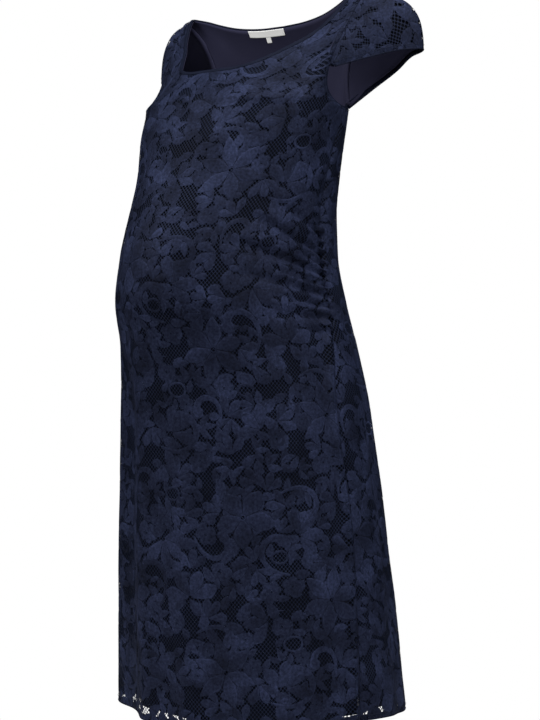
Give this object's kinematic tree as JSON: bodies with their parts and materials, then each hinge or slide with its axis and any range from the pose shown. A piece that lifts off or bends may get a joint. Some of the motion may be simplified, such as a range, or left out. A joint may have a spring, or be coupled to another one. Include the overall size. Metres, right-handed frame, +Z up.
{
  "type": "maternity dress",
  "caption": "Knee-length lace maternity dress with cap sleeves and a wide scooped neck, smooth jersey lining, filled out as worn and hollow inside.",
  "frame": {"origin": "midway between the two shoulder seams, at the height where the dress hangs on the wearer's shoulders", "axes": "+Z up, the wearer faces -Y, and the wearer's left is +X"},
  "size_m": [0.4626, 0.3835, 0.9869],
  "materials": {
    "lace": "navy floral lace, satin motifs on a fine net",
    "lining": "smooth navy jersey",
    "label": "plain white woven tape"
  },
  "bodies": {
    "root": {"front_lace": "lace", "back_lace": "lace", "sleeve_left_lace": "lace", "sleeve_right_lace": "lace", "front_lining": "lining", "back_lining": "lining", "sleeve_left_lining": "lining", "sleeve_right_lining": "lining", "neck_label": "label", "size_tab": "label"}
  },
  "joints": []
}
